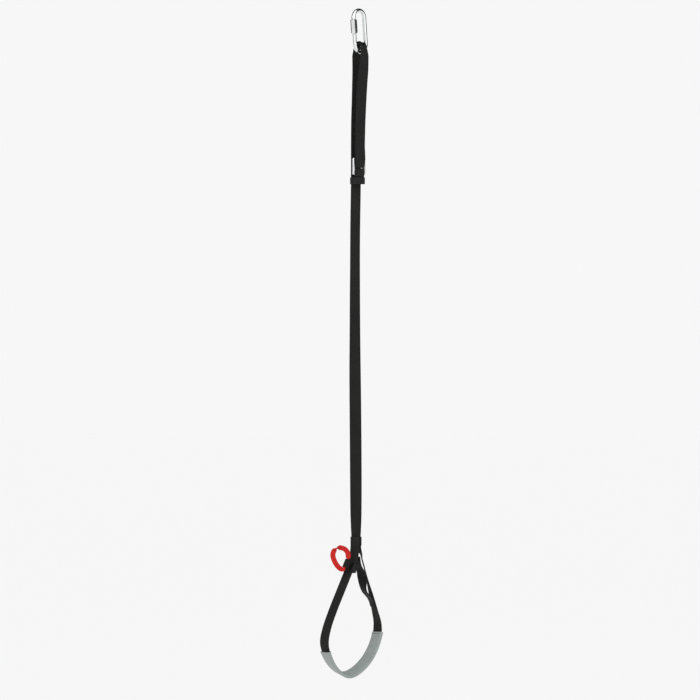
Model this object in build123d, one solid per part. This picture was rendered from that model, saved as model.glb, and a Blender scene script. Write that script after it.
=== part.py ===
from build123d import *
import os
from math import cos, pi, radians, sin, sqrt

# An adjustable foot loop that hangs on a rope grab or rope clamp. Millimetres, +Z up.
# The origin is the hang point, the inside of the quick link's top bow. X runs across the
# link and across the foot loop, -Y is the side that the sewn strap leg is on.

# ---- driving dimensions -------------------------------------------------------------------
# quick link
WIRE = 7.0  # diameter of the bent steel wire
LEG_SPACING = 26.0  # between the centres of the link's two legs
LEG_LENGTH = 45.0  # straight length of each leg
LINK_LEAN = 5.0  # degrees that the link leans in its own plane
NUT_LENGTH = 23.5
NUT_FLATS = 10.0  # across the flats of the sleeve nut
NUT_DROP = 1.6  # from the start of the straight leg to the nut's top
GAP = 16.5  # the gate opening that the nut closes
GAP_COVER = 2.9  # the nut overlaps the upper stub by this much
THREAD_CLEARANCE = 0.06

# webbing
WEB_WIDTH = 20.0
WEB_THICK = 2.0
PLY_GAP = 0.15  # between webbing plies that are sewn together
END_GAP = 0.3  # between the ends of two lengths of one strap
SOFT_GAP = 0.3  # between webbing and the hard piece that it runs through
FOLD_WIDTH = 16.0  # the strap narrows as it cups in the link's bow
FOLD_LENGTH = 12.0  # how far the fold runs down past the bow's wire

# adjuster buckle
BUCKLE_Z = -261.8  # the middle of the buckle's frame
BUCKLE_AT = (-9.7, -9.0)
BUCKLE_TURN = -6.0
BUCKLE_HEIGHT = 30.0
RAIL_WIDTH = 3.6
BAR = 4.0  # diameter of the cross bars
CENTRE_BAR = 1.5  # the middle bar's height above the frame's middle
TAIL_REACH = 38.0  # the free tail reaches this far above the frame's middle
BACK_TOP = 22.0  # the back leg ends this far above the frame's middle
KEEPER_HEIGHT = 11.5
KEEPER_DROP = 9.5  # from the buckle's foot to the keeper's middle
KEEPER_WALL = 1.3
KEEPER_DEPTH = 12.6  # room inside, from the strap's back face forwards
STRAP_TURN = -12.0  # the running strap's azimuth in the keeper
STRAP_X = -7.3

# lower strap and foot loop
JUNCTION_Z = -905.0  # the lowest row of stitches that closes the loop
JUNCTION_HEIGHT = 14.0
JUNCTION_X = -6.9
SLEEVE_WALL = 0.8
SLEEVE_ROOM = 0.3  # round the webbing inside the sleeve
STIFFENER_THICK = 1.2
THREAD = 0.5  # how far a row of stitches stands up

# throat slider, pull tab and ring
SLIDER_LENGTH = 15.0
SLIDER_WALL = 1.8
SLIDER_DROP = 38.0  # from the loop's closing stitches to the slider's middle
TAB_REACH = 14.0
TAB_WIDTH = 15.0
TAB_PLY = 1.5
RING_BAR = 4.0  # diameter of the ring tape where it is gathered in the tab
RING_TAPE = 9.0
RING_THICK = 2.0

# ---- places that follow from them ---------------------------------------------------------
BOW = LEG_SPACING / 2
TOP_BOW_Z = WIRE / 2 - BOW
FOLD_AT = Vector(
    LEG_LENGTH * sin(radians(LINK_LEAN)),
    0,
    TOP_BOW_Z - LEG_LENGTH * cos(radians(LINK_LEAN)) - BOW,
)
# the inside of the bow rises beside the strap, and the fold's inside clears that
FOLD_INSIDE = BOW - sqrt((BOW - WIRE / 2) ** 2 - (FOLD_WIDTH / 2) ** 2) + SOFT_GAP
FOLD_RADIUS = FOLD_INSIDE + WEB_THICK / 2
FOLD_FOOT_Z = FOLD_AT.Z - FOLD_LENGTH
KEEPER_Z = BUCKLE_Z - BUCKLE_HEIGHT / 2 - KEEPER_DROP


# ---- webbing ------------------------------------------------------------------------------
def width_vector(azimuth, tilt=0.0):
    """The direction across a strap, by its azimuth from +X and its dip, in degrees."""
    flat = cos(radians(tilt))
    return Vector(
        flat * cos(radians(azimuth)), flat * sin(radians(azimuth)), -sin(radians(tilt))
    )


def strap_planes(stations):
    """A plane across the strap at each station (x, y, z, azimuth, tilt)."""
    points = [Vector(*s[:3]) for s in stations]
    planes = []
    for i, station in enumerate(stations):
        before = points[max(i - 1, 0)]
        after = points[min(i + 1, len(points) - 1)]
        along = (after - before).normalized()
        across = width_vector(*station[3:])
        across = (across - along * across.dot(along)).normalized()
        planes.append(Plane(origin=points[i], x_dir=across, z_dir=along))
    return planes


def strap(stations, widths=WEB_WIDTH, thick=WEB_THICK, offset=0.0):
    """A flat strap through the stations; the offset moves it along its own thickness."""
    planes = strap_planes(stations)
    if not isinstance(widths, list):
        widths = [widths] * len(planes)
    sections = [
        plane * Pos(0, offset) * Rectangle(width, thick)
        for plane, width in zip(planes, widths)
    ]
    return loft(sections, ruled=True)


def spread(stations, top, foot):
    """Stations whose height is given as a share of the way from top to foot."""
    return [(x, y, top + share * (foot - top), *turn) for x, y, share, *turn in stations]


def hung(stations, top):
    """Stations whose height is given from top."""
    return [(x, y, top + z, *turn) for x, y, z, *turn in stations]


def part_way(planes, index, share):
    """The plane that lies a share of the way from one station to the next."""
    a, b = planes[index], planes[index + 1]
    return Plane(
        origin=a.origin + (b.origin - a.origin) * share,
        x_dir=a.x_dir + (b.x_dir - a.x_dir) * share,
        z_dir=a.z_dir + (b.z_dir - a.z_dir) * share,
    )


def on_frame(origin, azimuth):
    """A local frame: X across the strap, Y towards its back, Z up."""
    return Plane(origin=origin, x_dir=width_vector(azimuth), z_dir=(0, 0, 1))


# ---- quick link ---------------------------------------------------------------------------
def leaned(shape):
    """The upright link turned about the centre of its top bow."""
    pivot = Pos(0, 0, TOP_BOW_Z)
    return pivot * Rot(0, -LINK_LEAN, 0) * pivot.inverse() * shape


def link_body():
    top = TOP_BOW_Z
    low = top - LEG_LENGTH
    gap_top = top - NUT_DROP - GAP_COVER
    gap_low = gap_top - GAP
    path = Line((-BOW, 0, gap_low), (-BOW, 0, low))
    path += ThreePointArc((-BOW, 0, low), (0, 0, low - BOW), (BOW, 0, low))
    path += Line((BOW, 0, low), (BOW, 0, top))
    path += ThreePointArc((BOW, 0, top), (0, 0, top + BOW), (-BOW, 0, top))
    path += Line((-BOW, 0, top), (-BOW, 0, gap_top))
    start = Plane(origin=(-BOW, 0, gap_low), z_dir=(0, 0, -1))
    return leaned(sweep(start * Circle(WIRE / 2), path=path))


def link_nut():
    bore = WIRE / 2 + THREAD_CLEARANCE
    middle = TOP_BOW_Z - NUT_DROP - NUT_LENGTH / 2
    corners = NUT_FLATS / sqrt(3)
    body = extrude(RegularPolygon(corners, 6), NUT_LENGTH / 2, both=True)
    barrel = Cylinder(corners, NUT_LENGTH)
    barrel = chamfer(barrel.edges().filter_by(GeomType.CIRCLE), 1.1)
    nut = body & barrel
    nut -= Cylinder(bore, NUT_LENGTH + 2)
    return leaned(Pos(-BOW, 0, middle) * nut)


# ---- sling above the buckle ---------------------------------------------------------------
def fold_stations():
    x, _, z = FOLD_AT
    half_turn = [
        (x, -FOLD_RADIUS * cos(a), z + FOLD_RADIUS * sin(a), 0)
        for a in [pi * i / 12 for i in range(13)]
    ]
    front = (x, -FOLD_RADIUS, FOLD_FOOT_Z, 0)
    back = (x, FOLD_RADIUS, FOLD_FOOT_Z, 0)
    return [front] + half_turn + [back]


def square_ends(stations, straight=3.0):
    """The same stations with a short upright run at both ends, so that ends meet flat."""
    first, last = stations[0], stations[-1]
    under = first[:2] + (first[2] - straight,) + first[3:]
    over = last[:2] + (last[2] + straight,) + last[3:]
    return [first, under] + stations[1:-1] + [over, last]


# (x, y, share of the way from the fold's foot to the leg's end, azimuth)
FRONT_LEG = [
    (2.2, -9.0, 0.116, -10),
    (-0.9, -9.1, 0.282, -14),
    (-3.3, -9.3, 0.482, -13),
    (-6.2, -10.2, 0.731, -11),
]
BACK_LEG = [
    (4.6, 8.2, 0.104, -10),
    (3.2, 7.0, 0.254, -14),
    (0.4, 5.3, 0.434, -13),
    (-3.6, 3.0, 0.659, -11),
    (-6.6, 1.0, 0.908, -8),
]
STRAP_TOP_Z = BUCKLE_Z + BACK_TOP
KEEPER_FOOT_Z = KEEPER_Z - KEEPER_HEIGHT / 2
STRAP_MIDDLE = [
    (-8.9, 0.0, 0.121, -11),
    (-9.5, 0.0, 0.29, -14),
    (-9.5, 0.0, 0.408, -20),
    (-9.3, 0.0, 0.509, -29),
    (-8.6, 0.0, 0.61, -39),
    (-7.8, 0.0, 0.723, -46),
    (-7.2, 0.0, 0.847, -54),
    (-7.0, 0.0, 0.931, -66),
    (-6.9, 0.0, 0.975, -78),
]
LOWER_STRAP = [
    (STRAP_X - 0.7, -0.4, STRAP_TOP_Z, -9),
    (STRAP_X - 0.7, -0.4, STRAP_TOP_Z - 3, -9),
    (STRAP_X - 0.3, -0.2, BUCKLE_Z, -10),
    (STRAP_X, 0.0, KEEPER_Z + KEEPER_HEIGHT / 2 + 2, STRAP_TURN),
    (STRAP_X, 0.0, KEEPER_FOOT_Z - 2, STRAP_TURN),
    *spread(STRAP_MIDDLE, KEEPER_FOOT_Z - 6, JUNCTION_Z + JUNCTION_HEIGHT),
    (JUNCTION_X, 0.0, JUNCTION_Z + JUNCTION_HEIGHT, -86),
    (JUNCTION_X, 0.0, JUNCTION_Z, -86),
]


def strap_fold():
    full = FOLD_WIDTH + (WEB_WIDTH - FOLD_WIDTH) * 0.8
    widths = [full] + [FOLD_WIDTH] * 13 + [full]
    return strap(fold_stations(), widths)


def leg(side, between, end):
    """A strap leg from the fold's foot to its end at the buckle; side is -1 at the front."""
    top = (FOLD_AT.X, side * FOLD_RADIUS, FOLD_FOOT_Z - END_GAP, 0)
    foot = end[:2] + (end[2] + END_GAP,) + end[3:]
    between = spread(between, top[2], foot[2])
    stations = square_ends([top] + between + [foot])
    start = FOLD_WIDTH + (WEB_WIDTH - FOLD_WIDTH) * 0.8
    return strap(stations, [start, start] + [WEB_WIDTH] * (len(stations) - 2))


def front_leg():
    return leg(-1, FRONT_LEG, in_adjuster(TAIL_PATH)[0])


def back_leg():
    return leg(1, BACK_LEG, LOWER_STRAP[0])


# ---- adjuster -----------------------------------------------------------------------------
ADJUSTER = on_frame((*BUCKLE_AT, BUCKLE_Z), BUCKLE_TURN)
KEEPER = on_frame((STRAP_X, 0, KEEPER_Z), STRAP_TURN)
RAIL_X = WEB_WIDTH / 2 + SOFT_GAP + RAIL_WIDTH / 2
OUTER_BAR = BUCKLE_HEIGHT / 2 - BAR / 2
PLY_OFF = BAR / 2 + SOFT_GAP + WEB_THICK / 2  # a ply's middle from a bar's middle


def stations_in(frame, path, azimuth):
    """Stations from (forward, up) points in a local frame."""
    stations = []
    for forward, up in path:
        at = frame.from_local_coords(Vector(0, -forward, up))
        stations.append((at.X, at.Y, at.Z, azimuth))
    return stations


def in_adjuster(path):
    return stations_in(ADJUSTER, path, BUCKLE_TURN)


def buckle_frame():
    frame = Box(2 * RAIL_X + RAIL_WIDTH, BAR, BUCKLE_HEIGHT)
    frame = fillet(frame.edges().filter_by(Axis.Y), BAR)
    window = Box(2 * RAIL_X - RAIL_WIDTH, 2 * BAR, BUCKLE_HEIGHT - 2 * BAR)
    frame = fillet((frame - window).edges().filter_by(Axis.X), BAR * 0.48)
    centre = Rot(0, 90, 0) * Cylinder(BAR / 2, 2 * RAIL_X)
    return ADJUSTER * (frame + Pos(0, 0, CENTRE_BAR) * centre)


FRONT_PLY = PLY_OFF + WEB_THICK + PLY_GAP
# (forward, up) from the frame's middle: down in front, round the centre bar, and up again
# through the upper slot, where the tail lies behind the front ply
TAIL_PATH = [(FRONT_PLY - 1.2, TAIL_REACH), (FRONT_PLY - 1.2, TAIL_REACH - 4)]
TAIL_PATH += [(FRONT_PLY - 0.4, 20), (FRONT_PLY, OUTER_BAR), (FRONT_PLY - 0.7, 7.5)]
TAIL_PATH += [
    (PLY_OFF * cos(a), CENTRE_BAR - PLY_OFF * sin(a)) for a in [pi * i / 8 for i in range(9)]
]
TAIL_PATH += [(-PLY_OFF + 0.6, 4.4), (-0.7, 6.6), (2.1, 9.3), (PLY_OFF, OUTER_BAR)]
TAIL_PATH += [(PLY_OFF - 0.4, 20), (PLY_OFF - 1.2, TAIL_REACH - 4)]
TAIL_PATH += [(PLY_OFF - 1.2, TAIL_REACH)]


def adjusting_end():
    return strap(in_adjuster(TAIL_PATH))


def stitch_rows(plane, across, heights, length):
    """Rows of thread that lie on a strap's face."""
    rows = [plane * Pos(0, 0, h) * Box(across, THREAD, length) for h in heights]
    return Compound(children=rows)


def tail_hem_stitching():
    """Two rows across the tail's hem, on the face that looks at the back leg."""
    back = PLY_OFF - 1.2 - (WEB_THICK + THREAD) / 2
    face = ADJUSTER * Pos(0, -back, 0)
    return stitch_rows(face, WEB_WIDTH - 4, [TAIL_REACH - h for h in (1.2, 2.8)], 0.8)


# (forward, up): the anchor loop leaves the keeper, goes up in front of the lowest bar, over it
# and down behind it. It stands tall round the bar, because its webbing is stiff.
ANCHOR_RISE = 7.6  # the loop's crown above the lowest bar's middle
ANCHOR_ROOM = 1.0  # between the front ply and the keeper's walls, both sides together
ANCHOR_FRONT = KEEPER_DEPTH - WEB_THICK - ANCHOR_ROOM
ANCHOR_BACK = WEB_THICK + PLY_GAP + 1.2
ANCHOR_GRIP = KEEPER_HEIGHT / 2 - 0.55  # the sewn ends' reach, down from the keeper's middle
ANCHOR_STAND = KEEPER_HEIGHT / 2 + 0.2  # straight up to here, just clear of the keeper
ANCHOR_CROWN = [
    (PLY_OFF * cos(a), PLY_OFF * sin(a) - OUTER_BAR) for a in (radians(-46), radians(-23))
]
ANCHOR_CROWN += [
    (PLY_OFF * cos(a), ANCHOR_RISE * sin(a) - OUTER_BAR) for a in [pi * i / 8 for i in range(9)]
]


def anchor_loop():
    """A short length of webbing that ties the buckle's lowest bar to the strap."""
    up = [(ANCHOR_FRONT, -ANCHOR_GRIP), (ANCHOR_FRONT, ANCHOR_STAND)]
    down = [(ANCHOR_BACK, ANCHOR_GRIP / 2), (ANCHOR_BACK, -ANCHOR_GRIP)]
    front = stations_in(KEEPER, up, STRAP_TURN)
    back = stations_in(KEEPER, down, STRAP_TURN)
    return strap(front + in_adjuster(ANCHOR_CROWN) + back)


def keeper():
    """A moulded band over the place where the anchor loop is sewn to the strap."""
    room_x = WEB_WIDTH + 2 * SOFT_GAP
    forward = KEEPER_DEPTH / 2 - WEB_THICK / 2 - SOFT_GAP
    outer = Box(room_x + 2 * KEEPER_WALL, KEEPER_DEPTH + 2 * KEEPER_WALL, KEEPER_HEIGHT)
    outer = fillet(outer.edges().filter_by(Axis.Z), 3.2)
    band = outer - Box(room_x, KEEPER_DEPTH, KEEPER_HEIGHT + 2)
    return KEEPER * Pos(0, -forward, 0) * band


# ---- foot loop ----------------------------------------------------------------------------
PLY_STEP = WEB_THICK + PLY_GAP
LEFT_X = JUNCTION_X - PLY_STEP
RIGHT_X = JUNCTION_X + PLY_STEP
# (x, y, height from the loop's closing stitches, azimuth, tilt)
LEFT_SIDE = [
    (-12.8, 0, -21, -89),
    (-17.6, 0, -31, -90),
    (-41.2, 0, -72, -90),
    (-64.6, 0, -112.6, -90),
    (-78.4, 0, -141, -90),
    (-84.0, 0, -163, -90, 4),
]
SOLE = [
    (-80.4, 0, -179.0, -90, 12),
    (-67.7, 0, -199.4, -90, 18),
    (-49.0, 0, -214.2, -90, 20),
    (-31.0, 0, -219.6, -90, 20),
    (-14.2, 0, -216.2, -90, 20),
    (11.0, 0, -201.8, -90, 18),
    (30.2, 0, -181.8, -90, 14),
    (41.6, 0, -161.2, -90, 7),
    (45.6, 0, -149.0, -90, 2),
]
RIGHT_SIDE = [
    (46.2, 0, -141, -93),
    (45.4, 0, -131, -98),
    (39.4, 0, -112.5, -108),
    (34.6, -0.2, -99, -113),
    (28.8, -0.5, -82, -120),
    (21.4, -1.0, -61.5, -128),
    (14.0, -1.5, -41, -134),
    (6.6, -2.4, -26, -136),
    (2.0, -2.4, -15, -128),
    (-2.6, -1.2, -7, -108),
]
LEFT_LEG = [
    (LEFT_X, 0, JUNCTION_Z + JUNCTION_HEIGHT, -86),
    (LEFT_X, 0, JUNCTION_Z, -86),
    (LEFT_X, 0, JUNCTION_Z - 1.5, -86),
    (LEFT_X - 0.9, 0, JUNCTION_Z - 10, -87),
    *hung(LEFT_SIDE, JUNCTION_Z),
]
RIGHT_LEG = [
    *hung(RIGHT_SIDE, JUNCTION_Z),
    (RIGHT_X, 0, JUNCTION_Z - 1.5, -86),
    (RIGHT_X, 0, JUNCTION_Z, -86),
    (RIGHT_X, 0, JUNCTION_Z + JUNCTION_HEIGHT, -86),
]
FOOT_LOOP = LEFT_LEG + hung(SOLE, JUNCTION_Z) + RIGHT_LEG
SLEEVE_FROM = len(LEFT_LEG)
SLEEVE_TO = len(LEFT_LEG) + len(SOLE)


def foot_strap():
    return strap(FOOT_LOOP)


# a plane's local +Y points out of the loop
STIFFENER_OFF = (WEB_THICK + STIFFENER_THICK) / 2 + PLY_GAP
ROOM_THICK = WEB_THICK + STIFFENER_THICK + PLY_GAP + 2 * SLEEVE_ROOM
ROOM_OFF = (STIFFENER_THICK + PLY_GAP) / 2
ROOM_WIDTH = WEB_WIDTH + 2 * SLEEVE_ROOM


def sleeve_part(width, thick, offset=0.0, spare=0):
    """A strap-like solid that follows the sole; spare runs it past both ends."""
    planes = strap_planes(FOOT_LOOP)[SLEEVE_FROM:SLEEVE_TO]
    planes[0] = planes[0].offset(-spare)
    planes[-1] = planes[-1].offset(spare)
    faces = [plane * Pos(0, offset) * Rectangle(width, thick) for plane in planes]
    return loft(faces, ruled=True)


def foot_sleeve():
    outer = sleeve_part(
        ROOM_WIDTH + 2 * SLEEVE_WALL, ROOM_THICK + 2 * SLEEVE_WALL, ROOM_OFF
    )
    return outer - sleeve_part(ROOM_WIDTH, ROOM_THICK, ROOM_OFF, spare=2)


def sole_stiffener():
    planes = strap_planes(FOOT_LOOP)[SLEEVE_FROM + 1 : SLEEVE_TO - 1]
    return loft(
        [p * Pos(0, STIFFENER_OFF) * Rectangle(WEB_WIDTH - 2, STIFFENER_THICK) for p in planes],
        ruled=True,
    )


def sleeve_seam(index, share):
    """A row of thread across the sleeve's inner face, next to its end."""
    plane = part_way(strap_planes(FOOT_LOOP), index, share)
    face = ROOM_OFF - ROOM_THICK / 2 - SLEEVE_WALL - THREAD / 2 - PLY_GAP
    return plane * Pos(0, face, 0) * Box(WEB_WIDTH - 3, THREAD, 0.8)


def junction_stitching():
    """Bar tacks through the three plies, seen on both faces."""
    face = on_frame((JUNCTION_X, 0, JUNCTION_Z), -86)
    out = PLY_STEP + WEB_THICK / 2 + THREAD / 2
    rows = []
    for side in (-1, 1):
        for height in (1.5, 4.5, 7.5, 10.5, 12.8):
            rows.append(face * Pos(0, side * out, height) * Box(WEB_WIDTH - 4, THREAD, 0.9))
    return Compound(children=rows)


# ---- throat strap, slider, tab and ring ---------------------------------------------------
STRAIGHT_TOP = Vector(*LEFT_LEG[5][:3])  # the left leg is straight between these two
STRAIGHT_LOW = Vector(*LEFT_LEG[7][:3])
LEG_DOWN = (STRAIGHT_LOW - STRAIGHT_TOP).normalized()
SLIDER_Z = JUNCTION_Z - SLIDER_DROP
SLIDER_AT = STRAIGHT_TOP + LEG_DOWN * ((SLIDER_Z - STRAIGHT_TOP.Z) / LEG_DOWN.Z)
SLIDER = Plane(origin=SLIDER_AT, x_dir=(0, 1, 0), z_dir=-LEG_DOWN)  # local +Y is outwards
SLOT = WEB_THICK + 2 * SOFT_GAP + 0.3
SECOND_SLOT = SLOT + SLIDER_WALL / 2
TAIL_PLY = 1.6  # the throat strap is thinner, softer tape


def slider_point(out, up):
    return SLIDER.from_local_coords(Vector(0, out, up))


def throat_slider():
    depth = SLOT + SECOND_SLOT + 2 * SLIDER_WALL
    across = WEB_WIDTH + 2 * SOFT_GAP + 2 * SLIDER_WALL + 0.6
    body = Box(across, depth, SLIDER_LENGTH)
    body = fillet(body.edges().filter_by(Axis.Z), 2.6)
    body = fillet(body.edges().group_by(Axis.Z)[-1] + body.edges().group_by(Axis.Z)[0], 1.2)
    body = Pos(0, -SECOND_SLOT / 2, 0) * body
    slot = Box(WEB_WIDTH + 2 * SOFT_GAP + 0.6, SLOT, SLIDER_LENGTH + 2)
    return SLIDER * (body - slot - Pos(0, -SECOND_SLOT, 0) * slot)


# the throat strap's seam lies between these stations of the right leg
SEAM_FROM = SLEEVE_TO + 2
SEAM_GAP = 3 * PLY_GAP  # room for the leg's twist
THROAT = [
    (25.0, -0.4, -90.5, -106),
    (15.5, -0.4, -79.5, -97),
    (8.4, -0.3, -65, -92),
    (4.2, -0.2, -50, -90),
    (0.2, 0, -38, -90),
    (-3.0, 0, -28, -90),
    (-5.4, 0, -22.2, -90),
    (-8.0, 0, -20.2, -90),
    (-10.4, 0, -22.4, -90),
    (-12.9, 0, -27.4, -90),
]


def throat_strap():
    """Sewn to the right leg, up across the throat, over and down into the slider."""
    planes = strap_planes(FOOT_LOOP)
    inside = -(WEB_THICK + TAIL_PLY) / 2 - SEAM_GAP
    path = []
    for share in (0.5, 1.0):
        at = (part_way(planes, SEAM_FROM, share) * Pos(0, inside, 0)).position
        path.append((at.X, at.Y, at.Z, FOOT_LOOP[SEAM_FROM + 1][3]))
    path += hung(THROAT, JUNCTION_Z)
    for up in (SLIDER_LENGTH / 2 - 1, 2, -SLIDER_LENGTH / 2 + 2):
        at = slider_point(-SECOND_SLOT, up)
        path.append((at.X, at.Y, at.Z, -90))
    return strap(path, WEB_WIDTH - 1, TAIL_PLY)


def throat_stitching():
    planes = strap_planes(FOOT_LOOP)
    face = -WEB_THICK / 2 - SEAM_GAP - TAIL_PLY - THREAD / 2 - 2 * PLY_GAP
    rows = []
    for share in (0.58, 0.72, 0.86):
        seam = part_way(planes, SEAM_FROM, share)
        rows.append(seam * Pos(0, face, 0) * Box(WEB_WIDTH - 5, THREAD, 0.8))
    return Compound(children=rows)


TAB_SHIFT = -2.0  # the tab sits this far to the near side of the leg's middle
TUNNEL = SLIDER * Pos(TAB_SHIFT, TAB_REACH, 0)
TUNNEL_ROOM = RING_BAR / 2 + SOFT_GAP


def pull_tab():
    """Folded webbing, sewn to the slider, whose fold is the ring's tunnel."""
    start = SLOT / 2 + SLIDER_WALL
    plate_long = TAB_REACH - start
    plate = Pos(0, -plate_long / 2, 0) * Box(2 * TAB_PLY + 0.2, plate_long, TAB_WIDTH)
    tunnel = Cylinder(TUNNEL_ROOM + TAB_PLY, TAB_WIDTH)
    return TUNNEL * (plate + tunnel - Cylinder(TUNNEL_ROOM, TAB_WIDTH + 2))


def pull_tab_stitching():
    start = -(TAB_REACH - SLOT / 2 - SLIDER_WALL) + 2.2
    rows = []
    for side in (-1, 1):
        for step in (0, 1.8):
            spot = Pos(side * (TAB_PLY + 0.1 + THREAD / 2), start + step, 0)
            rows.append(TUNNEL * spot * Box(THREAD, 0.8, TAB_WIDTH - 3))
    return Compound(children=rows)


# the ring leaves the tunnel's ends and swings out to the side, in a plane of its own
RING_SIDE = Vector(-0.556, 0.766, 0.320)
RING_LOOP = [
    (TAB_WIDTH / 2 + 3.2, 0.2),
    (19.0, 3.6),
    (24.4, 12.0),
    (23.4, 21.0),
    (17.0, 27.0),
    (7.0, 26.6),
    (-3.0, 19.2),
    (-12.0, 8.6),
    (-TAB_WIDTH / 2 - 4.4, 0.2),
]


def pull_ring():
    """A loop of stiff tape whose gathered side runs through the tab's tunnel."""
    centre = TUNNEL.position
    up = LEG_DOWN * -1
    normal = up.cross(RING_SIDE).normalized()
    points = [centre + up * a + RING_SIDE * b for a, b in RING_LOOP]
    sections = []
    for i, point in enumerate(points):
        along = (points[min(i + 1, len(points) - 1)] - points[max(i - 1, 0)]).normalized()
        across = normal.cross(along)
        plane = Plane(origin=point, x_dir=across, z_dir=along)
        width = RING_BAR if i in (0, len(points) - 1) else RING_TAPE
        sections.append(plane * Rectangle(width, RING_THICK))
    tape = loft(sections, ruled=True)
    reach = RING_LOOP[0][0] - RING_LOOP[-1][0]
    middle = centre + up * ((RING_LOOP[0][0] + RING_LOOP[-1][0]) / 2)
    bar = Plane(origin=middle, z_dir=up) * Cylinder(RING_BAR / 2, reach)
    return tape + bar


# ---- write each node ----------------------------------------------------------------------
NODES = {
    "link_body": link_body,
    "link_nut": link_nut,
    "strap_fold": strap_fold,
    "front_leg": front_leg,
    "back_leg": back_leg,
    "buckle_frame": buckle_frame,
    "adjusting_end": adjusting_end,
    "tail_hem_stitching": tail_hem_stitching,
    "anchor_loop": anchor_loop,
    "strap_keeper": keeper,
    "lower_strap": lambda: strap(LOWER_STRAP),
    "foot_strap": foot_strap,
    "junction_stitching": junction_stitching,
    "foot_sleeve": foot_sleeve,
    "sole_stiffener": sole_stiffener,
    "sleeve_seam_left": lambda: sleeve_seam(SLEEVE_FROM, 0.15),
    "sleeve_seam_right": lambda: sleeve_seam(SLEEVE_TO - 2, 0.75),
    "throat_strap": throat_strap,
    "throat_stitching": throat_stitching,
    "throat_slider": throat_slider,
    "pull_tab": pull_tab,
    "pull_tab_stitching": pull_tab_stitching,
    "pull_ring": pull_ring,
}

os.makedirs("parts", exist_ok=True)
for name, make in NODES.items():
    shape = make()
    shape.label = name
    export_step(shape, f"parts/{name}.step")
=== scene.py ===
import random
from math import cos, pi, radians, sin

import bmesh
import bpy
import numpy as np
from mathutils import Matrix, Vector


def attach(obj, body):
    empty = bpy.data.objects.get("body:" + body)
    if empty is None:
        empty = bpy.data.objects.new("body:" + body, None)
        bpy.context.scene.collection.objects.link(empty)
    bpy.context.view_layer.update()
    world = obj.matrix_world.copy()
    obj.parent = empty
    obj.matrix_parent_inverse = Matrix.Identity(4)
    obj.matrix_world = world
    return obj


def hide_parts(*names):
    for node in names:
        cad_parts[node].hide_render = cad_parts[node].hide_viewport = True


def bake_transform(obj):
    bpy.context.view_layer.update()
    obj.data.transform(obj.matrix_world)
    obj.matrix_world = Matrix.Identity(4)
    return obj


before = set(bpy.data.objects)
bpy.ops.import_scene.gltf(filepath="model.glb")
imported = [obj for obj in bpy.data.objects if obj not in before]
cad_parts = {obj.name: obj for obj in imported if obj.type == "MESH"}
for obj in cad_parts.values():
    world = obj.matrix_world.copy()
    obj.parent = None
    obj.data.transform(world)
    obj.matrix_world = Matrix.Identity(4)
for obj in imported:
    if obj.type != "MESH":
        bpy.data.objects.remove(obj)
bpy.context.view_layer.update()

MM = 0.001

# ---- camera, light and floor --------------------------------------------------------------
# The loop hangs free in a bright white studio. It is seen level, from the left of its front
# leg, and a long lens keeps its straps parallel.
VIEW_AZIMUTH = radians(-46)
VIEW_DISTANCE = 14.0
VIEW_WIDTH = 1.19
VIEW_CENTRE = Vector((-0.0104, 0.0108, -0.57375))
SENSOR = 36.0

lens = bpy.data.cameras.new("camera")
lens.sensor_width = SENSOR
lens.lens = SENSOR * VIEW_DISTANCE / VIEW_WIDTH
lens.dof.use_dof = False
camera = bpy.data.objects.new("camera", lens)
bpy.context.scene.collection.objects.link(camera)
sight = Vector((-sin(VIEW_AZIMUTH), cos(VIEW_AZIMUTH), 0))
camera.location = VIEW_CENTRE - sight * VIEW_DISTANCE
camera.rotation_euler = sight.to_track_quat("-Z", "Y").to_euler()
bpy.context.scene.camera = camera
bpy.context.scene.view_settings.view_transform = "Standard"


def soft_light(name, place, size, watts):
    """A square lamp that faces the middle of the object."""
    lamp = bpy.data.lights.new(name, "AREA")
    lamp.size = size
    lamp.energy = watts
    held = bpy.data.objects.new(name, lamp)
    bpy.context.scene.collection.objects.link(held)
    held.location = place
    facing = VIEW_CENTRE - Vector(place)
    held.rotation_euler = facing.to_track_quat("-Z", "Y").to_euler()


soft_light("key_light", (-2.4, -0.6, 0.9), 1.6, 14)
soft_light("fill_light", (0.7, -2.8, -0.2), 1.8, 8)
soft_light("back_light", (1.6, 2.4, 0.6), 1.8, 8)


def linear(colour):
    """An sRGB hex colour as linear RGBA."""
    parts = [int(colour[i : i + 2], 16) / 255 for i in (1, 3, 5)]
    return [p / 12.92 if p <= 0.04045 else ((p + 0.055) / 1.055) ** 2.4 for p in parts] + [1.0]


def add(tree, kind, settings=None, **links):
    """One node, with its settings and with what goes into its named inputs."""
    made = tree.nodes.new(kind)
    for key, value in (settings or {}).items():
        setattr(made, key, value)
    for key, value in links.items():
        by_number = key[0] == "i" and key[1:].isdigit()
        socket = made.inputs[int(key[1:]) if by_number else key.replace("_", " ")]
        if isinstance(value, bpy.types.NodeSocket):
            tree.links.new(value, socket)
        else:
            socket.default_value = value
    return made


def finish_of(name, **constants):
    """An empty material with one shader whose fixed values are set on its own sockets."""
    material = bpy.data.materials.new(name)
    material.use_nodes = True
    tree = material.node_tree
    tree.nodes.clear()
    shader = add(tree, "ShaderNodeBsdfPrincipled", None, **constants)
    add(tree, "ShaderNodeOutputMaterial", None, Surface=shader.outputs["BSDF"])
    return material, tree, shader


def wear(material, obj):
    """obj is made of that material."""
    obj.data.materials.clear()
    obj.data.materials.append(material)
    for face in obj.data.polygons:
        face.material_index = 0
    return obj


ROOM_WHITE = 0.93
GLOSS_WHITE = 1.35
FLAG_GREY = 0.015
# a round wire shows the white out to about half of its radius, and the flags beyond two thirds
WHITE_UNTIL, FLAGS_FROM = 0.22, 0.42


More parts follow.
